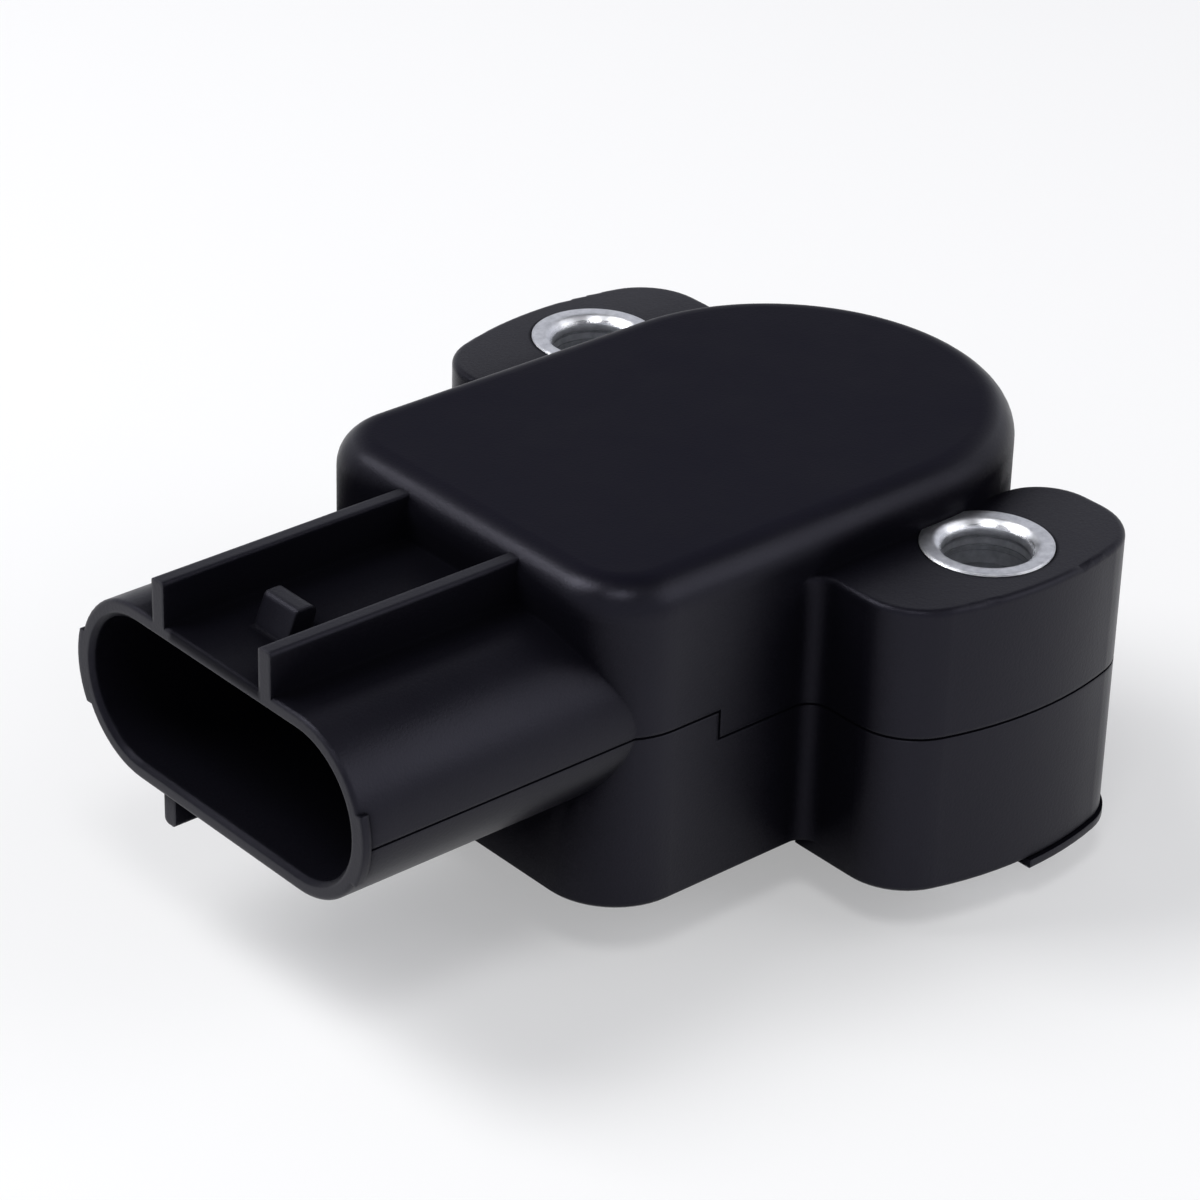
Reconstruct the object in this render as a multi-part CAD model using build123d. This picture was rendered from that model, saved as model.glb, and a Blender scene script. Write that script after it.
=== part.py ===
from build123d import *
import math
import os

# Sizes are in millimetres. Z is up along the rotor axis, from the mounting plane. The plug faces -X.

# Mounting ears and their metal bushes
hole_spacing = 38.0
bush_outer_diameter = 8.6
bush_bore_diameter = 5.8
bush_chamfer = 0.45
bush_proud = 0.1
insert_clearance = 0.02
ear_rim = 6.0
ear_overlap = 0.8
ear_towards_connector = 10.9
ear_away_from_connector = 9.8
ear_height = 19.4
ear_corner_radius = 4.6
ear_neck_radius = 3.9
ear_edge_radius = 0.4
valley_radius = 1.5
ear_foot = 0.95
pad_height = 0.9
pad_outset = 0.2
pad_chamfer = 0.35
pad_start = -0.3

# Raised body
bush_offset = 3.8
body_flat_end = 27.9
body_rise = 3.3
body_corner_radius = 5.3
body_top_radius = 2.3
base_edge_chamfer = 0.2

# Connector shroud
connector_end = 46.3
connector_width = 28.5
connector_height = 12.2
connector_middle = 12.85
connector_offset = -0.3
connector_wall = 1.15
socket_depth = 14.8
mouth_edge_radius = 0.25
mouth_lead = 0.3
mouth_lead_angle = 45.0
rib_offset = 5.36
rib_thickness = 1.2
rib_top = 21.9
rib_edge_radius = 0.25
latch_setback = 4.35
latch_length = 1.8
latch_slope = 0.9
latch_hook = 0.7
latch_width = 3.2
latch_height = 2.1
latch_crest_radius = 0.45
key_setback = 0.5
key_length = 9.0
key_depth = 1.8
key_edge_radius = 0.4
lip_height = 5.0
lip_depth = 0.6
lip_proud = 0.25

# Mould parting line, higher round the plug than round the ears
parting_height_plug = 12.3
parting_height_ears = 10.3
parting_step = 18.8
parting_groove_width = 0.17
parting_groove_depth = 0.12

# Inner cavity, open below
top_wall = 2.9
side_wall = 3.2
bay_end = 20.0
bay_side_step = 1.0
bay_corner_radius = 2.0
stop_width = 2.0
stop_engagement = 1.4
stop_angle = 90.0
pivot_radius = 2.0
pivot_depth = 1.5
pivot_clearance = 0.05

# Base cover with bearing tube and spigot
cover_ledge = 1.5
cover_thickness = 2.0
cover_clearance = 0.1
cover_rim = 1.5
spigot_length = 2.6
spigot_chamfer = 0.5
bearing_clearance = 0.05
tube_wall = 1.35
seal_width = 1.6
seal_height = 1.5
seal_clearance = 0.08
o_ring_section = 1.6
o_ring_proud = 0.35
o_ring_height = -1.3
o_ring_clearance = 0.1

# Rotor
travel_angle = 100.0
flange_clearance = 0.8
flange_thickness = 2.4
rotor_recess = 1.6
drive_slot_width = 4.6
drive_slot_end_wall = 1.5
drive_slot_depth = 8.0
stop_gap = 0.4
washer_thickness = 0.5
washer_overhang = 0.1
washer_clearance = 0.1

# Printed element and its wiper
card_thickness = 0.8
card_clearance = 0.4
card_hole_gap = 0.3
print_thickness = 0.05
resistor_inset = 2.2
track_pitch = 3.4
track_width = 2.0
overrun_angle = 12.0
lead_width = 0.8
wiper_space = 3.25
wiper_middle_angle = -90.0
wiper_thickness = 0.25
wiper_arm_width = 1.5
wiper_arm_length = 5.5
wiper_base_length = 3.4
wiper_tip_length = 0.6
wiper_gap = 0.05
stake_radius = 0.5
stake_height = 0.5
stake_clearance = 0.05

# Terminals
terminal_pitch = 5.0
terminal_width = 2.2
terminal_thickness = 0.8
terminal_tip_setback = 7.0
terminal_tip_chamfer = 0.25
terminal_bay_gap = 2.4
terminal_tongue_length = 3.4
terminal_bend_radius = 1.0

# Return spring
spring_wire = 0.8
spring_wire_sides = 8
spring_tube_gap = 0.5
spring_wall_gap = 2.3
spring_turns = 3.0
spring_angle = 187.0
spring_leg = 4.0
spring_end_gap = 0.5
anchor_radius = 0.5
anchor_height = 2.2
anchor_gap = 0.05
anchor_reach = 2.4

# Places that several pieces share
hole_y = hole_spacing / 2
body_width = hole_spacing - 2 * bush_offset
ear_reach = hole_y + ear_rim
ear_inner_edge = body_width / 2 - ear_overlap
cavity_radius = body_width / 2 - side_wall
bay_width = 2 * (cavity_radius - bay_side_step)
spigot_radius = cavity_radius + cover_ledge - cover_rim
flange_radius = cavity_radius - flange_clearance
stop_inner_radius = flange_radius - stop_engagement
spring_radius = cavity_radius - spring_wall_gap - spring_wire / 2
tube_radius = spring_radius - spring_wire / 2 - spring_tube_gap
bearing_radius = tube_radius - tube_wall
rotor_radius = bearing_radius - bearing_clearance
drive_slot_length = 2 * (rotor_radius - drive_slot_end_wall)
resistor_radius = flange_radius - resistor_inset
collector_radius = resistor_radius - track_pitch
card_hole_radius = pivot_radius + card_hole_gap
socket_floor = connector_end - socket_depth
terminal_riser = bay_end - terminal_bay_gap
supply_y = connector_offset - terminal_pitch
signal_y = connector_offset
ground_y = connector_offset + terminal_pitch

# Heights that several pieces share
ear_underside = pad_height
underside = ear_underside + ear_foot
ear_top = underside + ear_height
bush_top = ear_top + bush_proud
body_top = ear_top + body_rise
connector_z = underside + connector_middle
parting_z_plug = underside + parting_height_plug
parting_z_ears = underside + parting_height_ears
ceiling = body_top - top_wall
cover_top = underside + cover_thickness
card_bottom = ceiling - card_thickness
print_bottom = card_bottom - print_thickness
flange_top = print_bottom - wiper_space
flange_bottom = flange_top - flange_thickness
washer_bottom = flange_bottom - washer_clearance - washer_thickness
rotor_bottom = rotor_recess - spigot_length


def prism(sketch, low, high):
    """Upright solid on a plan outline, between two heights."""
    return Pos(0, 0, low) * extrude(sketch, high - low)


def rod(radius, low, high, x=0.0, y=0.0):
    """Upright round solid between two heights."""
    return prism(Pos(x, y) * Circle(radius), low, high)


def ring(inner, outer, low, high):
    """Upright tube about the rotor axis."""
    return prism(Circle(outer) - Circle(inner), low, high)


def along_x(section, start, end):
    """Solid with a Y-Z section, from x start to x end."""
    return extrude(Plane.YZ.offset(start) * section, end - start)


def sector(inner, outer, start, end):
    """Plan outline of a ring sector between two angles in degrees."""
    reach = 2 * outer / math.cos(math.radians((end - start) / 4))
    corners = [(0, 0)]
    for step in range(3):
        angle = math.radians(start + (end - start) * step / 2)
        corners.append((reach * math.cos(angle), reach * math.sin(angle)))
    return (Circle(outer) - Circle(inner)) & make_face(Polyline(*corners, close=True))


def at_angle(degrees, shape):
    """Shape turned about the rotor axis."""
    return Rot(0, 0, degrees) * shape


def body_outline():
    block = Pos(-body_flat_end / 2, 0) * Rectangle(body_flat_end, body_width)
    block = fillet(block.vertices().group_by(Axis.X)[0], body_corner_radius)
    return block + Circle(body_width / 2)


def ear_outline():
    """Ear on the -Y side: straight walls, an end about the rotor axis, a rounded neck away from the plug."""
    left = -ear_towards_connector
    right = ear_away_from_connector
    middle = (left + right) / 2
    depth = ear_reach - ear_inner_edge
    ear = Pos(middle, -ear_inner_edge - depth / 2) * Rectangle(right - left, depth)
    ear = ear & Circle(ear_reach)
    ear = fillet(ear.vertices().sort_by(Axis.Y)[:2], ear_corner_radius)
    wall = math.sqrt(ear_reach**2 - right**2) - ear_inner_edge
    neck_radius = min(ear_neck_radius, wall - ear_corner_radius)
    return fillet(ear.vertices().sort_by(Axis.Y)[-2:].sort_by(Axis.X)[-1], neck_radius)


def both_sides(shape):
    return shape + mirror(shape, about=Plane.XZ)


def ear_plan():
    """Ear with a strip inside the body's wall, so that the valley between wall and ear is rounded."""
    left = -ear_towards_connector
    wall_y = -body_width / 2
    strip = Pos(left, wall_y + valley_radius) * Rectangle(4 * valley_radius, 2 * valley_radius)
    plan = ear_outline() + strip
    return fillet(plan.vertices().sort_by_distance((left, wall_y))[0], valley_radius)


def plan_outline():
    return body_outline() + both_sides(ear_plan())


def cavity_outline(grow=0.0):
    """Keyhole plan of the inner space: the round rotor well and the terminal bay."""
    bay = Pos(-bay_end / 2, 0) * Rectangle(bay_end, bay_width)
    bay = fillet(bay.vertices().group_by(Axis.X)[0], bay_corner_radius)
    outline = bay + Circle(cavity_radius)
    return offset(outline, grow) if grow else outline


def connector_section(inset=0.0):
    slot = SlotOverall(connector_width - 2 * inset, connector_height - 2 * inset)
    return Pos(connector_offset, connector_z) * slot


def terminal_section(y):
    return Pos(y, connector_z) * Rectangle(terminal_width, terminal_thickness)


def stop_block(clearance=0.0):
    """Radial block on the cavity wall that the rotor's notch meets at both ends of its travel."""
    inner = stop_inner_radius - clearance
    outer = cavity_radius + cover_ledge / 2
    block = Pos((inner + outer) / 2, 0) * Rectangle(outer - inner, stop_width + 2 * clearance)
    return at_angle(stop_angle, block)


def connector_solid():
    shroud = along_x(connector_section(), -connector_end, -bay_end)
    shroud = fillet(shroud.faces().sort_by(Axis.X)[0].edges(), mouth_edge_radius)
    top = connector_z + connector_height / 2
    bottom = connector_z - connector_height / 2
    rib_low = connector_z
    rib_high = underside + rib_top
    rib_section = Pos(0, (rib_low + rib_high) / 2) * Rectangle(rib_thickness, rib_high - rib_low)
    rib = along_x(rib_section, -connector_end, -body_flat_end + body_corner_radius)
    rib = fillet(rib.edges().filter_by(Axis.X).group_by(Axis.Z)[-1], rib_edge_radius)
    for side in (-1, 1):
        shroud += Pos(0, side * rib_offset, 0) * rib

    latch_front = -connector_end + latch_setback
    latch_back = latch_front + latch_length
    profile = Polyline(
        (latch_front, top - connector_wall / 2),
        (latch_front, top),
        (latch_front + latch_slope, top + latch_height),
        (latch_back + latch_hook, top + latch_height),
        (latch_back, top),
        (latch_back, top - connector_wall / 2),
        close=True,
    )
    latch = extrude(Plane.XZ * make_face(profile), latch_width / 2, both=True)
    latch = fillet(latch.edges().filter_by(Axis.Y).group_by(Axis.Z)[-1], latch_crest_radius)
    shroud += latch

    key_front = -connector_end + key_setback
    key_section = Rectangle(rib_thickness, key_depth + connector_wall)
    key_section = Pos(rib_offset, bottom - key_depth / 2) * key_section
    key_section = fillet(key_section.vertices().group_by(Axis.Y)[0], key_edge_radius)
    shroud += along_x(key_section, key_front, key_front + key_length)
    return shroud


def side_lips():
    """Short raised lips on both sides of the plug mouth."""
    band = Pos(0, parting_z_plug) * Rectangle(2 * connector_width, lip_height)
    return along_x(connector_section(-lip_proud) & band, -connector_end, -connector_end + lip_depth)


def parting_groove():
    """Fine line round the housing where the mould halves met, with a step between its two levels."""
    plug = Pos(-connector_end, connector_offset) * Rectangle(2 * connector_end, connector_width)
    outline = plan_outline() + plug
    band = offset(outline, parting_groove_depth) - offset(outline, -parting_groove_depth)
    plug_side = Pos(-parting_step - connector_end, 0) * Rectangle(2 * connector_end, 4 * ear_reach)
    step = Pos(-parting_step, 0) * Rectangle(parting_groove_width, 4 * ear_reach)
    half = parting_groove_width / 2
    groove = prism(band & plug_side, parting_z_plug - half, parting_z_plug + half)
    groove += prism(band - plug_side, parting_z_ears - half, parting_z_ears + half)
    return groove + prism(band & step, parting_z_ears - half, parting_z_plug + half)


def make_ear():
    """Ear on the -Y side, with its foot and the half pad under it."""
    ear = prism(ear_plan(), underside + base_edge_chamfer, ear_top)
    ear = fillet(ear.faces().sort_by(Axis.Z)[-1].edges(), ear_edge_radius)
    foot = prism(ear_outline(), ear_underside, underside + base_edge_chamfer)
    foot = chamfer(foot.faces().sort_by(Axis.Z)[0].edges(), base_edge_chamfer)
    pad = offset(ear_outline(), pad_outset)
    pad &= Pos(pad_start + ear_reach, 0) * Rectangle(2 * ear_reach, 4 * ear_reach)
    pad = prism(pad, 0, ear_underside)
    pad = chamfer(pad.faces().sort_by(Axis.Z)[0].edges(), pad_chamfer)
    return ear + foot + pad


def make_housing():
    body = prism(body_outline(), underside, body_top)
    body = fillet(body.faces().sort_by(Axis.Z)[-1].edges(), body_top_radius)
    body = chamfer(body.faces().sort_by(Axis.Z)[0].edges(), base_edge_chamfer)
    housing = body + both_sides(make_ear()) + connector_solid()
    housing -= parting_groove()
    housing += side_lips()

    housing -= along_x(connector_section(connector_wall), -connector_end, -socket_floor)
    mouth = Plane.YZ.offset(-connector_end) * connector_section(connector_wall - mouth_lead)
    housing -= extrude(mouth, mouth_lead, taper=mouth_lead_angle)
    housing -= prism(cavity_outline() - stop_block(), underside, ceiling)
    housing -= prism(cavity_outline(), underside, flange_bottom - stop_gap)
    housing -= prism(cavity_outline(cover_ledge), underside, cover_top)
    housing -= rod(pivot_radius + pivot_clearance, ceiling, ceiling + pivot_depth)
    for side in (-1, 1):
        housing -= rod(bush_outer_diameter / 2 + insert_clearance, 0, bush_top, y=side * hole_y)
    for y in (supply_y, signal_y, ground_y):
        housing -= along_x(terminal_section(y), -socket_floor, -bay_end)
    return housing


def make_bush(side):
    bush = rod(bush_outer_diameter / 2, 0, bush_top)
    bush -= rod(bush_bore_diameter / 2, 0, bush_top)
    mouths = bush.edges().filter_by(GeomType.CIRCLE).group_by(SortBy.RADIUS)[0]
    bush = chamfer(mouths, bush_chamfer)
    return Pos(0, side * hole_y, 0) * bush


def make_terminal(y):
    """Flat blade that runs through the socket's back wall, then steps up to the card."""
    tip = -connector_end + terminal_tip_setback
    tongue_z = print_bottom - terminal_thickness / 2
    path = FilletPolyline(
        (tip, connector_z),
        (-terminal_riser, connector_z),
        (-terminal_riser, tongue_z),
        (-terminal_riser + terminal_tongue_length, tongue_z),
        radius=terminal_bend_radius,
    )
    strip = extrude(Plane.XZ * trace(path, terminal_thickness), terminal_width / 2, both=True)
    tip_edges = strip.faces().sort_by(Axis.X)[0].edges()
    return Pos(0, y, 0) * chamfer(tip_edges, terminal_tip_chamfer)


def make_element_card():
    card = cavity_outline(-card_clearance) - Circle(card_hole_radius)
    return prism(card - stop_block(card_clearance), card_bottom, ceiling)


def track_span():
    half = travel_angle / 2 + overrun_angle
    return wiper_middle_angle - half, wiper_middle_angle + half


def track_arc(radius, width, start, end):
    return sector(radius - width / 2, radius + width / 2, start, end)


def make_resistance_track():
    start, end = track_span()
    return prism(track_arc(resistor_radius, track_width, start, end), print_bottom, card_bottom)


def straight_lead(start, end):
    return trace(Line(start, end), lead_width)


def polar(radius, degrees):
    angle = math.radians(degrees)
    return radius * math.cos(angle), radius * math.sin(angle)


def terminal_lead(y, end):
    """Printed pad under a terminal's tongue, with a straight lead to its end point."""
    pad_x = -terminal_riser + terminal_tongue_length / 2 + lead_width
    pad = Pos(pad_x, y) * Rectangle(terminal_tongue_length + lead_width, terminal_width + lead_width)
    return pad + straight_lead((pad_x, y), end)


def print_layer(outline):
    """Printed conductor on the card, cut back to the ends of the carbon arc."""
    start, end = track_span()
    return prism(outline - track_arc(resistor_radius, track_width, start, end), print_bottom, card_bottom)


def make_supply_print():
    return print_layer(terminal_lead(supply_y, polar(resistor_radius, track_span()[0])))


def make_signal_print():
    start, end = track_span()
    lead = terminal_lead(signal_y, polar(collector_radius, start))
    return print_layer(lead + track_arc(collector_radius, track_width, start, end))


def make_ground_print():
    """Lead that runs round between the two arcs to the far end of the carbon arc."""
    end = track_span()[1]
    lead_radius = (collector_radius + resistor_radius) / 2
    lead_end = 180 - math.degrees(math.asin(ground_y / lead_radius))
    lead = terminal_lead(ground_y, polar(lead_radius, lead_end))
    lead += track_arc(lead_radius, lead_width, end, lead_end)
    bar_length = resistor_radius + track_width / 2 - lead_radius
    bar = Pos(lead_radius + bar_length / 2, lead_width / 2) * Rectangle(bar_length, lead_width)
    return print_layer(lead + at_angle(end, bar))


def make_base_cover():
    cover = prism(cavity_outline(cover_ledge - cover_clearance), underside, cover_top)
    spigot = rod(spigot_radius, -spigot_length, underside)
    spigot = chamfer(spigot.edges().group_by(Axis.Z)[0], spigot_chamfer)
    cover += spigot + rod(tube_radius, cover_top, washer_bottom)
    cover -= rod(bearing_radius, -spigot_length, washer_bottom)
    cover -= rod(bearing_radius + seal_width, -spigot_length, -spigot_length + seal_height)
    groove_radius = spigot_radius + o_ring_proud - o_ring_section - o_ring_clearance
    groove_half = o_ring_section / 2 + o_ring_clearance
    groove = ring(groove_radius, 2 * spigot_radius, -groove_half, groove_half)
    cover -= Pos(0, 0, o_ring_height) * groove
    x, y = spring_anchor(-1)
    cover += rod(anchor_radius, cover_top, cover_top + anchor_height, x, y)
    return cover


def make_mount_o_ring():
    section_radius = o_ring_section / 2
    return Pos(0, 0, o_ring_height) * Torus(spigot_radius + o_ring_proud - section_radius, section_radius)


def make_shaft_seal():
    inner = rotor_radius + seal_clearance
    outer = bearing_radius + seal_width - insert_clearance
    return ring(inner, outer, -spigot_length, -spigot_length + seal_height)


def make_thrust_washer():
    outer = tube_radius + washer_overhang
    return ring(bearing_radius, outer, washer_bottom, washer_bottom + washer_thickness)


def rest_angle():
    return wiper_middle_angle - travel_angle / 2


def make_rotor():
    rotor = rod(rotor_radius, rotor_bottom, flange_bottom)
    stop_half = math.degrees(math.asin((stop_width / 2 + stop_gap) / stop_inner_radius))
    notch_start = stop_angle - travel_angle - stop_half
    notch = sector(stop_inner_radius - stop_gap, 2 * flange_radius, notch_start, stop_angle + stop_half)
    rotor += prism(Circle(flange_radius) - notch, flange_bottom, flange_top)
    rotor += rod(pivot_radius, flange_top, ceiling + pivot_depth - pivot_clearance)
    slot = Rectangle(drive_slot_length, drive_slot_width)
    rotor -= prism(slot, rotor_bottom, rotor_bottom + drive_slot_depth)
    stake_top = flange_top + wiper_thickness + stake_height
    for radius in (collector_radius, resistor_radius):
        stake = rod(stake_radius, flange_top, stake_top, radius, -wiper_base_length / 2)
        rotor += at_angle(rest_angle(), stake)
    x, y = spring_anchor(1)
    rotor += rod(anchor_radius, flange_bottom - anchor_height, flange_bottom, x, y)
    return rotor


def make_wiper():
    """Stamped contact: a flat base on the rotor's flange and one rising arm for each track."""
    tip_z = print_bottom - wiper_gap
    rise = tip_z - flange_top - wiper_thickness / 2
    line = Polyline(
        (-wiper_base_length, 0),
        (0, 0),
        (wiper_arm_length - wiper_tip_length, rise - wiper_thickness / 2),
        (wiper_arm_length, rise - wiper_thickness / 2),
    )
    strip = Plane.YZ * trace(Pos(0, flange_top + wiper_thickness / 2) * line, wiper_thickness)
    arm = extrude(strip, wiper_arm_width / 2, both=True)
    wiper = Pos(collector_radius, 0, 0) * arm + Pos(resistor_radius, 0, 0) * arm
    span = resistor_radius - collector_radius + wiper_arm_width
    plate_x = (resistor_radius + collector_radius) / 2
    plate = Pos(plate_x, -wiper_base_length / 2) * Rectangle(span, wiper_base_length)
    wiper += prism(plate, flange_top, flange_top + wiper_thickness)
    for radius in (collector_radius, resistor_radius):
        hole = rod(stake_radius + stake_clearance, flange_top, ceiling, radius, -wiper_base_length / 2)
        wiper -= hole
    return at_angle(rest_angle(), wiper)


def spring_path():
    """Coil with a straight tangent leg at each end."""
    floor = cover_top + spring_end_gap + spring_wire / 2
    rise = flange_bottom - spring_end_gap - spring_wire / 2 - floor
    coil = Pos(0, 0, floor) * at_angle(spring_angle, Helix(rise / spring_turns, rise, spring_radius))
    low = coil @ 0
    high = coil @ 1
    return Wire([
        Edge.make_line(low - (coil % 0) * spring_leg, low),
        coil.edge(),
        Edge.make_line(high, high + (coil % 1) * spring_leg),
    ])


def spring_anchor(end):
    """Plan place of the peg that a spring leg bears on: end -1 is the cover's, 1 the rotor's."""
    turn = math.radians(spring_angle + (360.0 * spring_turns if end > 0 else 0.0))
    along = end * anchor_reach
    aside = spring_radius + spring_wire / 2 + anchor_gap + anchor_radius
    x = aside * math.cos(turn) - along * math.sin(turn)
    y = aside * math.sin(turn) + along * math.cos(turn)
    return x, y


def make_return_spring():
    path = spring_path()
    wire = RegularPolygon(spring_wire / 2, spring_wire_sides, major_radius=False)
    return sweep(Plane(origin=path @ 0, z_dir=path % 0) * wire, path=path, is_frenet=True)


parts = {
    "housing": make_housing(),
    "bush_front": make_bush(-1),
    "bush_rear": make_bush(1),
    "terminal_supply": make_terminal(supply_y),
    "terminal_signal": make_terminal(signal_y),
    "terminal_ground": make_terminal(ground_y),
    "element_card": make_element_card(),
    "resistance_track": make_resistance_track(),
    "print_supply": make_supply_print(),
    "print_signal": make_signal_print(),
    "print_ground": make_ground_print(),
    "base_cover": make_base_cover(),
    "mount_o_ring": make_mount_o_ring(),
    "shaft_seal": make_shaft_seal(),
    "thrust_washer": make_thrust_washer(),
    "rotor": make_rotor(),
    "wiper": make_wiper(),
    "return_spring": make_return_spring(),
}

os.makedirs("parts", exist_ok=True)
for name, part in parts.items():
    export_step(part, f"parts/{name}.step")
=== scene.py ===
import math
import bpy
from mathutils import Matrix, Vector


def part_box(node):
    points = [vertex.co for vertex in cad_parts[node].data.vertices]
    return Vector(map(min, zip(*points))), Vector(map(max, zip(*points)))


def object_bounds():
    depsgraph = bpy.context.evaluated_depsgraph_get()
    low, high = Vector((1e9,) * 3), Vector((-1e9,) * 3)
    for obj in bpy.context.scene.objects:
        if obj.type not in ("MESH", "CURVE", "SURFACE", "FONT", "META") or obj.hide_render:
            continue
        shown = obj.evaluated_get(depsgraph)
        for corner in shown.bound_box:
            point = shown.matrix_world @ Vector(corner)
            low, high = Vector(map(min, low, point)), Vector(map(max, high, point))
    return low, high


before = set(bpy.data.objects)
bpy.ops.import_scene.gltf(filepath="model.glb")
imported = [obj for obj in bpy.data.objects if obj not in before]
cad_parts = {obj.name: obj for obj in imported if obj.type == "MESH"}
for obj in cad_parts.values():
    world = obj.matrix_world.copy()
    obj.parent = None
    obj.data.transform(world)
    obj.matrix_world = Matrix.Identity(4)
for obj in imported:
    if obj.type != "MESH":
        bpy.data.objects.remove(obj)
cad_low, cad_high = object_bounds()
scene = bpy.context.scene
scene.view_settings.view_transform = "Standard"

# Camera, from the fit to the photograph (pixels, millimetres, radians and metres)
IMAGE_SIDE = 1200
FOCAL_PIXELS = 4276.6
SENSOR_MM = 36.0
AZIMUTH = math.radians(-41.41)
ELEVATION = math.radians(29.07)
ROLL = math.radians(1.67)
DISTANCE = 0.28047
TARGET = Vector((-0.01278, 0.00312, 0.01189))
CLIP_NEAR = 0.01
CLIP_FAR = 20.0

# Studio: a pale floor, light near the horizon and a dim ceiling
FLOOR_GAP = 0.00002
FLOOR_HEIGHT = cad_low.z - FLOOR_GAP
FLOOR_SIDE = 6.0
FLOOR_CORNERS = ((-1, -1), (1, -1), (1, 1), (-1, 1))
FLOOR_ALBEDO = 0.60
FLOOR_LIFT = 0.34
HORIZON_COLOUR = (0.72, 0.73, 0.79, 1.0)
CEILING_COLOUR = (0.07, 0.07, 0.08, 1.0)
HORIZON_RISE = 0.45
CEILING_RISE = 0.80

# Softboxes round the object: name, direction, side in metres and power in watts
LAMP_DISTANCE = 0.60
SOFTBOXES = (
    ("back_softbox", (-0.42, 0.44, 0.79), 0.30, 2.40),
    ("front_softbox", (0.55, -0.62, 0.55), 0.45, 0.95),
    ("top_softbox", (-0.33, -0.36, 0.87), 0.16, 0.70),
)

# Places on the object that its finishes follow
TOP_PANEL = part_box("housing")[1].z
PANEL_EDGE = 0.0004
O_RING_HEIGHT = (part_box("mount_o_ring")[0].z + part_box("mount_o_ring")[1].z) / 2
BUSH_LOW, BUSH_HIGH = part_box("bush_rear")
BUSH_MIDDLE = (BUSH_LOW + BUSH_HIGH) / 2
BUSH_RADIUS = (BUSH_HIGH.x - BUSH_LOW.x) / 2
# Width of the painted shadow ring round each bush
BUSH_GAP_SHADOW = 0.00028

# Boxes round the channel between the guide ribs, where shade is painted, and round the latch in it, which
# keeps only part of that painted shade, from the end of the plug
PLUG_END = cad_low.x
PLUG_MIDDLE = -0.0003
BOX_FADE = 0.0004
CHANNEL_START = PLUG_END - 0.0007
CHANNEL_STOP = PLUG_END + 0.0178
CHANNEL_HALF = 0.0047
CHANNEL_BOTTOM = 0.0200
CHANNEL_TOP = 0.0211
CHANNEL_LOW = Vector((CHANNEL_START, PLUG_MIDDLE - CHANNEL_HALF, CHANNEL_BOTTOM))
CHANNEL_HIGH = Vector((CHANNEL_STOP, PLUG_MIDDLE + CHANNEL_HALF, CHANNEL_TOP))
LATCH_START = PLUG_END + 0.0040
LATCH_STOP = PLUG_END + 0.0072
LATCH_HALF = 0.0021
LATCH_BOTTOM = 0.0207
LATCH_TOP = 0.0234
LATCH_LOW = Vector((LATCH_START, PLUG_MIDDLE - LATCH_HALF, LATCH_BOTTOM))
LATCH_HIGH = Vector((LATCH_STOP, PLUG_MIDDLE + LATCH_HALF, LATCH_TOP))

# Surface textures: scales in cycles for each metre, depths in metres, and strengths from 0 to 1
FLOW_SCALE = 140.0
# Scale of the noise that breaks up the lightened edges, partly wear and partly a painted highlight
WEAR_HIGHLIGHT_SCALE = 560.0
GRAIN_SCALE = 5200.0
GRAIN_DEPTH = 0.00004
FINE_GRAIN = 0.20
TURNING_SCALE = 2600.0
TURNING_DEPTH = 0.00001
TURNING_STRENGTH = 0.40
PATCH_SCALE = 1500.0
STREAK_REFINEMENT = 4.0
STREAK_STRENGTH = 0.20
SPECK_SCALE = 9000.0
INK_SCALE = 12000.0
INK_DEPTH = 0.000008
INK_STRENGTH = 0.40
DUST_SCALE = 1200.0

# Part and roughness of a noise, turn of the normal that counts as an edge, and samples of each search
NOISE_MIDDLE = (0.3, 0.7)
NOISE_ROUGHNESS = 0.6
EDGE_TURN = (0.75, 0.99)
BEVEL_SAMPLES = 4
HOLLOW_SAMPLES = 4

# Radii to which the finishes soften sharp edges
HOUSING_EDGE = 0.00032
MOULDING_EDGE = 0.00015
BUSH_EDGE = 0.00045
FINE_EDGE = 0.0001
PRINT_EDGE = 0.00002

# Housing: satin walls, edges lightened for wear and as a painted highlight, a duller top panel, and
# painted shade in recesses, round each bush and between the guide ribs
HOUSING_GRAIN = 0.30
HOUSING_TINT = (0.80, 0.79, 1.0, 1.0)
WALL_DARK = (0.0036, 0.0034, 0.0056, 1.0)
WALL_LIGHT = (0.0046, 0.0043, 0.0070, 1.0)
WALL_ROUGHNESS = (0.32, 0.40)
WALL_SPECULAR = 0.24
# Lighter colour on sharp edges: partly wear, partly a painted highlight
WORN_HIGHLIGHT_COLOUR = (0.020, 0.020, 0.023, 1.0)
WORN_HIGHLIGHT_SHARE = (0.2, 0.9)
PANEL_DARK = (0.0029, 0.0026, 0.0066, 1.0)
PANEL_LIGHT = (0.0037, 0.0034, 0.0080, 1.0)
PANEL_ROUGHNESS = (0.52, 0.60)
PANEL_SPECULAR = 0.06
# Painted shade: a near-black, matt, barely reflective copy of the plastic, and how far into hollows it
# reaches
RECESS_SHADE_COLOUR = (0.0033, 0.0032, 0.0050, 1.0)
RECESS_SHADE_ROUGHNESS = 0.75
RECESS_SHADE_IOR = 1.05
RECESS_SHADE_REACH = 0.012
RECESS_SHADE_CLOSED = 0.80
# Shares of painted shade over the channel between the guide ribs and on its latch
CHANNEL_SHADE_SHARE = 0.75
LATCH_SHADE_SHARE = 0.3

# Bushes
BUSH_BRIGHT = (0.85, 0.86, 0.89, 1.0)
BUSH_DULL = (0.60, 0.61, 0.64, 1.0)
BUSH_ROUGHNESS = (0.22, 0.42)

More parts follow.
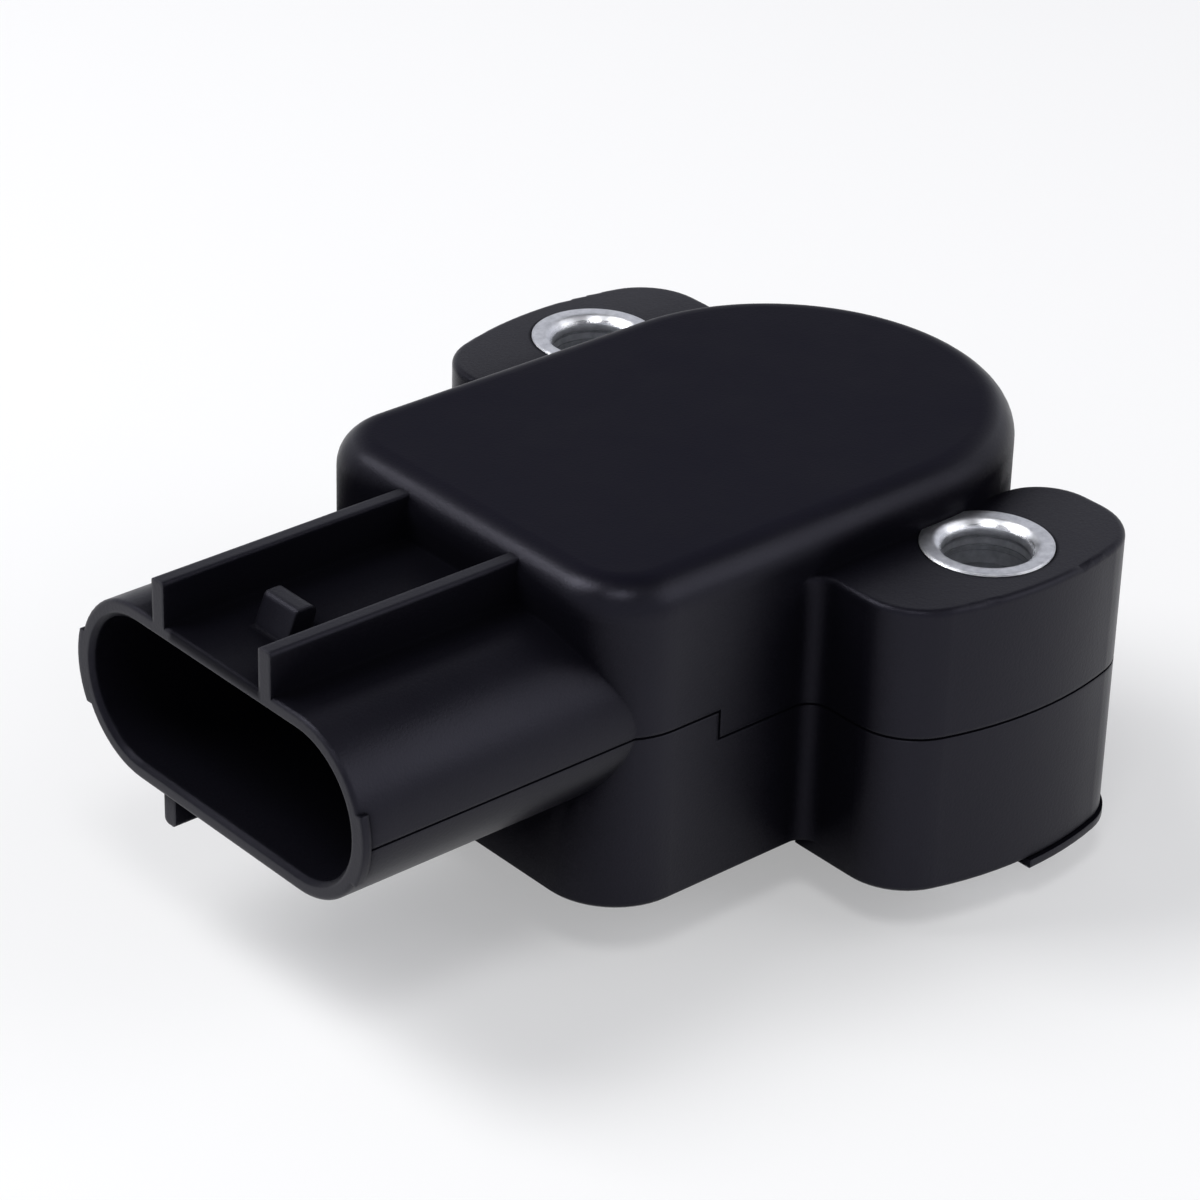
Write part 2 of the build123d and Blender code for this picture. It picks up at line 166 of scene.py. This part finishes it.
# Ceramic card
CERAMIC_DARK = (0.70, 0.69, 0.63, 1.0)
CERAMIC_LIGHT = (0.77, 0.76, 0.71, 1.0)
CERAMIC_ROUGHNESS = (0.55, 0.70)
SPECK_COLOUR = (0.45, 0.44, 0.40, 1.0)
SPECK_RANGE = (0.66, 0.74)

# Rubber, with the flash line of its mould
RUBBER_DARK = (0.011, 0.011, 0.011, 1.0)
RUBBER_DUSTY = (0.020, 0.020, 0.021, 1.0)
RUBBER_ROUGHNESS = (0.52, 0.70)
RUBBER_SHEEN = 0.10
FLASH_RANGE = (0.00003, 0.00008)
FLASH_DEPTH = 0.00005
FLASH_STRENGTH = 0.60

# Plain vectors for the shaders
ZERO = (0.0, 0.0, 0.0)
EVEN = (1.0, 1.0, 1.0)
LEVEL = (1.0, 1.0, 0.0)


def place_camera():
    """Puts the camera at the photograph's viewpoint."""
    data = bpy.data.cameras.new("photo_camera")
    data.sensor_width = SENSOR_MM
    data.lens = FOCAL_PIXELS / IMAGE_SIDE * SENSOR_MM
    data.clip_start = CLIP_NEAR
    data.clip_end = CLIP_FAR
    camera = bpy.data.objects.new("photo_camera", data)
    scene.collection.objects.link(camera)
    flat = math.cos(ELEVATION)
    back = Vector((math.sin(AZIMUTH) * flat, -math.cos(AZIMUTH) * flat, math.sin(ELEVATION)))
    level = Vector((math.cos(AZIMUTH), math.sin(AZIMUTH), 0.0))
    rise = back.cross(level)
    right = math.cos(ROLL) * level + math.sin(ROLL) * rise
    up = math.cos(ROLL) * rise - math.sin(ROLL) * level
    turn = Matrix((right, up, back)).transposed().to_4x4()
    camera.matrix_world = Matrix.Translation(TARGET + back * DISTANCE) @ turn
    scene.camera = camera


def add_softbox(name, direction, side, watts):
    """Square lamp that faces the object from a direction."""
    data = bpy.data.lights.new(name, "AREA")
    data.shape = "SQUARE"
    data.size = side
    data.energy = watts
    lamp = bpy.data.objects.new(name, data)
    scene.collection.objects.link(lamp)
    towards = Vector(direction).normalized()
    lamp.location = TARGET + towards * LAMP_DISTANCE
    lamp.rotation_mode = "QUATERNION"
    lamp.rotation_quaternion = towards.to_track_quat("Z", "Y")


class Graph:
    """Short forms for building the nodes of one material or world."""

    def __init__(self, owner):
        owner.use_nodes = True
        self.owner = owner
        self.tree = owner.node_tree
        self.tree.nodes.clear()

    def node(self, kind, **values):
        made = self.tree.nodes.new(kind)
        for key, value in values.items():
            setattr(made, key, value)
        return made

    def feed(self, target, value):
        """A plain value is set on the socket and an output is linked to it."""
        if isinstance(value, bpy.types.NodeSocket):
            self.tree.links.new(value, target)
        else:
            target.default_value = value

    def set(self, made, inputs):
        for key, value in inputs.items():
            self.feed(made.inputs[key], value)
        return made

    def math(self, operation, first, second=0.0):
        made = self.node("ShaderNodeMath", operation=operation)
        return self.set(made, {0: first, 1: second}).outputs[0]

    def vector_math(self, operation, first, second=ZERO, output="Vector"):
        made = self.node("ShaderNodeVectorMath", operation=operation)
        return self.set(made, {0: first, 1: second}).outputs[output]

    def place(self, stretch=EVEN):
        """Point on the surface, in the object's own frame."""
        own = self.node("ShaderNodeTexCoord").outputs["Object"]
        return self.vector_math("MULTIPLY", own, stretch)

    def height(self):
        return self.set(self.node("ShaderNodeSeparateXYZ"), {0: self.place()}).outputs["Z"]

    def noise(self, scale, detail=2.0, stretch=EVEN):
        made = self.node("ShaderNodeTexNoise")
        inputs = {
            "Vector": self.place(stretch),
            "Scale": scale,
            "Detail": detail,
            "Roughness": NOISE_ROUGHNESS,
        }
        return self.set(made, inputs).outputs["Fac"]

    def spread(self, value, low, high, start=0.0, end=1.0):
        """Maps a value from start..end onto low..high."""
        made = self.node("ShaderNodeMapRange")
        inputs = {"Value": value, "From Min": start, "From Max": end, "To Min": low, "To Max": high}
        return self.set(made, inputs).outputs["Result"]

    def mottle(self, noise, low=0.0, high=1.0):
        """Stretches the middle of a noise over low..high."""
        return self.spread(noise, low, high, *NOISE_MIDDLE)

    def blend(self, share, first, second):
        """Colour that goes from first to second."""
        made = self.node("ShaderNodeMix", data_type="RGBA")
        return self.set(made, {"Factor": share, "A": first, "B": second}).outputs["Result"]

    def rounded(self, radius):
        """Normal that softens the sharp edges of a piece."""
        made = self.node("ShaderNodeBevel", samples=BEVEL_SAMPLES)
        return self.set(made, {"Radius": radius}).outputs["Normal"]

    def edges(self, rounded):
        """One on sharp edges and nothing on open faces."""
        own = self.node("ShaderNodeNewGeometry").outputs["Normal"]
        along = self.vector_math("DOT_PRODUCT", rounded, own, "Value")
        return self.spread(along, 1.0, 0.0, *EDGE_TURN)

    def inside(self, low, high):
        """One well inside a box and nothing outside it."""
        offset = self.vector_math("SUBTRACT", self.place(), (low + high) / 2)
        away = self.vector_math("ABSOLUTE", offset)
        room = self.vector_math("SUBTRACT", (high - low) / 2, away)
        parts = self.set(self.node("ShaderNodeSeparateXYZ"), {0: room}).outputs
        least = self.math("MINIMUM", self.math("MINIMUM", parts["X"], parts["Y"]), parts["Z"])
        return self.spread(least, 0.0, 1.0, 0.0, BOX_FADE)

    def from_axis(self, place, middle):
        """Distance from an upright axis."""
        offset = self.vector_math("SUBTRACT", place, middle)
        flat = self.vector_math("MULTIPLY", offset, LEVEL)
        return self.vector_math("LENGTH", flat, output="Value")

    def hollows(self, reach, closed):
        """One in recesses and nothing where a surface lies open."""
        made = self.node("ShaderNodeAmbientOcclusion", samples=HOLLOW_SAMPLES, only_local=True)
        share = self.set(made, {"Distance": reach}).outputs["AO"]
        return self.spread(share, 1.0, 0.0, closed, 1.0)

    def bump(self, height, depth, strength, normal):
        made = self.node("ShaderNodeBump")
        inputs = {"Strength": strength, "Distance": depth, "Height": height, "Normal": normal}
        return self.set(made, inputs).outputs["Normal"]

    def principled(self, inputs):
        return self.set(self.node("ShaderNodeBsdfPrincipled"), inputs).outputs["BSDF"]

    def mix_shaders(self, share, first, second):
        made = self.node("ShaderNodeMixShader")
        return self.set(made, {0: share, 1: first, 2: second}).outputs[0]

    def finish(self, shader, kind="ShaderNodeOutputMaterial"):
        self.set(self.node(kind), {"Surface": shader})
        return self.owner


def new_material(name):
    return Graph(bpy.data.materials.new(name))


def grey(value, blue=1.0):
    return (value, value, value * blue, 1.0)


def set_world():
    """Bright round the horizon and dim overhead, the same from every side."""
    g = Graph(bpy.data.worlds.new("studio"))
    direction = g.node("ShaderNodeTexCoord").outputs["Generated"]
    rise = g.set(g.node("ShaderNodeSeparateXYZ"), {0: direction}).outputs["Z"]
    share = g.spread(rise, 0.0, 1.0, HORIZON_RISE, CEILING_RISE)
    colour = g.blend(share, HORIZON_COLOUR, CEILING_COLOUR)
    light = g.set(g.node("ShaderNodeBackground"), {"Color": colour}).outputs[0]
    scene.world = g.finish(light, "ShaderNodeOutputWorld")


def floor_material():
    """Pale and matt, lifted to the photograph's white where it is looked at, and clear from underneath."""
    g = new_material("pale_floor")
    seen = g.node("ShaderNodeLightPath").outputs
    mirrored = g.math("MAXIMUM", seen["Is Glossy Ray"], seen["Is Transmission Ray"])
    lift = g.math("MULTIPLY", g.math("MAXIMUM", seen["Is Camera Ray"], mirrored), FLOOR_LIFT)
    matt = g.set(g.node("ShaderNodeBsdfDiffuse"), {"Color": grey(FLOOR_ALBEDO)}).outputs[0]
    glow = g.set(g.node("ShaderNodeEmission"), {"Strength": lift}).outputs[0]
    both = g.set(g.node("ShaderNodeAddShader"), {0: matt, 1: glow}).outputs[0]
    underside = g.node("ShaderNodeNewGeometry").outputs["Backfacing"]
    below = g.math("MULTIPLY", underside, seen["Is Camera Ray"])
    clear = g.node("ShaderNodeBsdfTransparent").outputs[0]
    return g.finish(g.mix_shaders(below, both, clear))


def add_floor():
    half = FLOOR_SIDE / 2
    corners = [(x * half, y * half, FLOOR_HEIGHT) for x, y in FLOOR_CORNERS]
    mesh = bpy.data.meshes.new("floor")
    mesh.from_pydata(corners, [], [(0, 1, 2, 3)])
    mesh.materials.append(floor_material())
    floor = bpy.data.objects.new("floor", mesh)
    scene.collection.objects.link(floor)


def painted_shade_share(g):
    """How strongly shade is painted on the housing: in recesses, in a ring round each bush and between the
    guide ribs, less on the latch.
    """
    mirrored = g.vector_math("ABSOLUTE", g.place())
    # Painted shadow: a dark ring on the plastic round each bush, below its rim
    ring = g.spread(g.from_axis(mirrored, BUSH_MIDDLE), 1.0, 0.0, BUSH_RADIUS, BUSH_RADIUS + BUSH_GAP_SHADOW)
    below_rim = g.spread(g.height(), 1.0, 0.0, BUSH_HIGH.z, BUSH_HIGH.z + BUSH_GAP_SHADOW)
    gap = g.math("MULTIPLY", ring, below_rim)
    # Painted shade over the channel between the guide ribs
    channel = g.math("MULTIPLY", g.inside(CHANNEL_LOW, CHANNEL_HIGH), CHANNEL_SHADE_SHARE)
    # Painted shade in hollows, found by ambient occlusion
    hollows = g.hollows(RECESS_SHADE_REACH, RECESS_SHADE_CLOSED)
    shaded = g.math("MAXIMUM", hollows, g.math("MAXIMUM", gap, channel))
    # The latch keeps only part of all the painted shade
    off_latch = g.spread(g.inside(LATCH_LOW, LATCH_HIGH), 1.0, LATCH_SHADE_SHARE)
    return g.math("MULTIPLY", shaded, off_latch)


def housing_plastic():
    """Black moulding: grained satin walls, edges lightened for wear and as a painted highlight, a duller
    top panel, and painted shade in recesses, round each bush and between the guide ribs.
    """
    g = new_material("housing_plastic")
    flow = g.noise(FLOW_SCALE, detail=3.0)
    rounded = g.rounded(HOUSING_EDGE)
    # Sharp edges lightened, partly for wear and partly as a painted highlight
    wear_and_highlight = g.math("MULTIPLY", g.edges(rounded), g.mottle(g.noise(WEAR_HIGHLIGHT_SCALE), *WORN_HIGHLIGHT_SHARE))
    normal = g.bump(g.noise(GRAIN_SCALE), GRAIN_DEPTH, HOUSING_GRAIN, rounded)
    wall = g.principled({
        "Base Color": g.blend(wear_and_highlight, g.blend(g.mottle(flow), WALL_DARK, WALL_LIGHT), WORN_HIGHLIGHT_COLOUR),
        "Roughness": g.mottle(flow, *WALL_ROUGHNESS),
        "Specular IOR Level": WALL_SPECULAR,
        "Specular Tint": HOUSING_TINT,
        "Normal": normal,
    })
    panel = g.principled({
        "Base Color": g.blend(g.mottle(flow), PANEL_DARK, PANEL_LIGHT),
        "Roughness": g.mottle(flow, *PANEL_ROUGHNESS),
        "Specular IOR Level": PANEL_SPECULAR,
        "Specular Tint": HOUSING_TINT,
        "Normal": normal,
    })
    # Painted shade: a near-black matt copy of the plastic, mixed in wherever shade is painted
    shade_shader = g.principled({
        "Base Color": RECESS_SHADE_COLOUR,
        "Roughness": RECESS_SHADE_ROUGHNESS,
        "IOR": RECESS_SHADE_IOR,
        "Normal": normal,
    })
    on_panel = g.spread(g.height(), 0.0, 1.0, TOP_PANEL - PANEL_EDGE, TOP_PANEL)
    open_air = g.mix_shaders(on_panel, wall, panel)
    return g.finish(g.mix_shaders(painted_shade_share(g), open_air, shade_shader))


def moulded_plastic(name, dark, light, roughness, grain, specular):
    """Moulding with a spark-eroded grain, faint flow mottling and softened edges."""
    g = new_material(name)
    flow = g.noise(FLOW_SCALE, detail=3.0)
    return g.finish(g.principled({
        "Base Color": g.blend(g.mottle(flow), dark, light),
        "Roughness": g.mottle(flow, *roughness),
        "Specular IOR Level": specular,
        "Normal": g.bump(g.noise(GRAIN_SCALE), GRAIN_DEPTH, grain, g.rounded(MOULDING_EDGE)),
    }))


def fired_ceramic():
    """Pale substrate with the fine dark specks of sintered powder."""
    g = new_material("card_ceramic")
    specks = g.spread(g.noise(SPECK_SCALE, detail=1.0), 0.0, 1.0, *SPECK_RANGE)
    body = g.blend(g.mottle(g.noise(FLOW_SCALE)), CERAMIC_DARK, CERAMIC_LIGHT)
    return g.finish(g.principled({
        "Base Color": g.blend(specks, body, SPECK_COLOUR),
        "Roughness": g.spread(specks, *CERAMIC_ROUGHNESS),
        "Normal": g.bump(g.noise(GRAIN_SCALE), GRAIN_DEPTH, FINE_GRAIN, g.rounded(FINE_EDGE)),
    }))


def printed_ink(name, dark, light, roughness, metallic):
    """Screen print: a granular film with the mesh's fine texture."""
    g = new_material(name)
    grains = g.mottle(g.noise(INK_SCALE, detail=1.0))
    return g.finish(g.principled({
        "Base Color": g.blend(grains, dark, light),
        "Metallic": metallic,
        "Roughness": g.spread(grains, *roughness),
        "Normal": g.bump(grains, INK_DEPTH, INK_STRENGTH, g.rounded(PRINT_EDGE)),
    }))


def turned_metal(name, node):
    """Turned and plated bush: fine rings about its own axis, bright, with faint dull patches."""
    g = new_material(name)
    low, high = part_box(node)
    radius = g.from_axis(g.place(), (low + high) / 2)
    profile = g.set(g.node("ShaderNodeCombineXYZ"), {"X": radius, "Z": g.height()}).outputs[0]
    rings = g.set(g.node("ShaderNodeTexNoise"), {"Vector": profile, "Scale": TURNING_SCALE}).outputs["Fac"]
    patches = g.mottle(g.noise(PATCH_SCALE, detail=4.0))
    return g.finish(g.principled({
        "Base Color": g.blend(patches, BUSH_BRIGHT, BUSH_DULL),
        "Metallic": 1.0,
        "Roughness": g.mottle(rings, *BUSH_ROUGHNESS),
        "Normal": g.bump(rings, TURNING_DEPTH, TURNING_STRENGTH, g.rounded(BUSH_EDGE)),
    }))


def drawn_metal(name, bright, dull, roughness, scale, stretch=EVEN):
    """Rolled, stamped or drawn metal: streaks along its grain and softly rounded edges."""
    g = new_material(name)
    streaks = g.mottle(g.noise(scale, detail=3.0, stretch=stretch))
    fine = g.noise(STREAK_REFINEMENT * scale, stretch=stretch)
    return g.finish(g.principled({
        "Base Color": g.blend(streaks, bright, dull),
        "Metallic": 1.0,
        "Roughness": g.spread(streaks, *roughness),
        "Normal": g.bump(fine, TURNING_DEPTH, STREAK_STRENGTH, g.rounded(FINE_EDGE)),
    }))


def seal_rubber():
    """Black rubber: dusty mottling and the thin flash line of its mould half-way up."""
    g = new_material("seal_rubber")
    dust = g.mottle(g.noise(DUST_SCALE, detail=3.0))
    away = g.math("ABSOLUTE", g.math("SUBTRACT", g.height(), O_RING_HEIGHT))
    flash = g.spread(away, 1.0, 0.0, *FLASH_RANGE)
    fine = g.bump(g.noise(GRAIN_SCALE), GRAIN_DEPTH, FINE_GRAIN, g.rounded(FINE_EDGE))
    return g.finish(g.principled({
        "Base Color": g.blend(dust, RUBBER_DARK, RUBBER_DUSTY),
        "Roughness": g.spread(dust, *RUBBER_ROUGHNESS),
        "Sheen Weight": RUBBER_SHEEN,
        "Normal": g.bump(flash, FLASH_DEPTH, FLASH_STRENGTH, fine),
    }))


def dress(material, *names):
    for name in names:
        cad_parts[name].material_slots[0].material = material


def dress_mouldings():
    cover = moulded_plastic(
        "cover_plastic",
        dark=grey(0.010, blue=1.2),
        light=grey(0.016, blue=1.2),
        roughness=(0.47, 0.57),
        grain=0.35,
        specular=0.30,
    )
    natural = moulded_plastic(
        "rotor_plastic",
        dark=(0.60, 0.56, 0.46, 1.0),
        light=(0.68, 0.64, 0.54, 1.0),
        roughness=(0.40, 0.50),
        grain=0.25,
        specular=0.40,
    )
    skived = moulded_plastic(
        "washer_plastic",
        dark=grey(0.74, blue=0.96),
        light=grey(0.80, blue=0.97),
        roughness=(0.35, 0.45),
        grain=0.15,
        specular=0.40,
    )
    dress(housing_plastic(), "housing")
    dress(cover, "base_cover")
    dress(natural, "rotor")
    dress(skived, "thrust_washer")
    dress(seal_rubber(), "shaft_seal", "mount_o_ring")


def dress_metals():
    tin = drawn_metal(
        "terminal_metal",
        bright=(0.66, 0.65, 0.61, 1.0),
        dull=(0.50, 0.49, 0.46, 1.0),
        roughness=(0.28, 0.43),
        scale=900.0,
        stretch=(0.2, 1.0, 1.0),
    )
    brass = drawn_metal(
        "wiper_metal",
        bright=(0.74, 0.58, 0.30, 1.0),
        dull=(0.60, 0.46, 0.24, 1.0),
        roughness=(0.25, 0.40),
        scale=900.0,
    )
    wire = drawn_metal(
        "spring_steel",
        bright=grey(0.48, blue=1.04),
        dull=grey(0.36, blue=1.06),
        roughness=(0.30, 0.45),
        scale=1100.0,
        stretch=(1.0, 1.0, 0.3),
    )
    for node in ("bush_front", "bush_rear"):
        dress(turned_metal(node + "_steel", node), node)
    dress(tin, "terminal_supply", "terminal_signal", "terminal_ground")
    dress(brass, "wiper")
    dress(wire, "return_spring")


def dress_element():
    carbon = printed_ink(
        "carbon_print",
        dark=grey(0.016),
        light=grey(0.028),
        roughness=(0.62, 0.76),
        metallic=0.0,
    )
    silver = printed_ink(
        "silver_print",
        dark=(0.54, 0.53, 0.49, 1.0),
        light=(0.70, 0.69, 0.64, 1.0),
        roughness=(0.36, 0.50),
        metallic=1.0,
    )
    dress(fired_ceramic(), "element_card")
    dress(carbon, "resistance_track")
    dress(silver, "print_supply", "print_signal", "print_ground")


place_camera()
set_world()
add_floor()
for softbox in SOFTBOXES:
    add_softbox(*softbox)
dress_mouldings()
dress_metals()
dress_element()
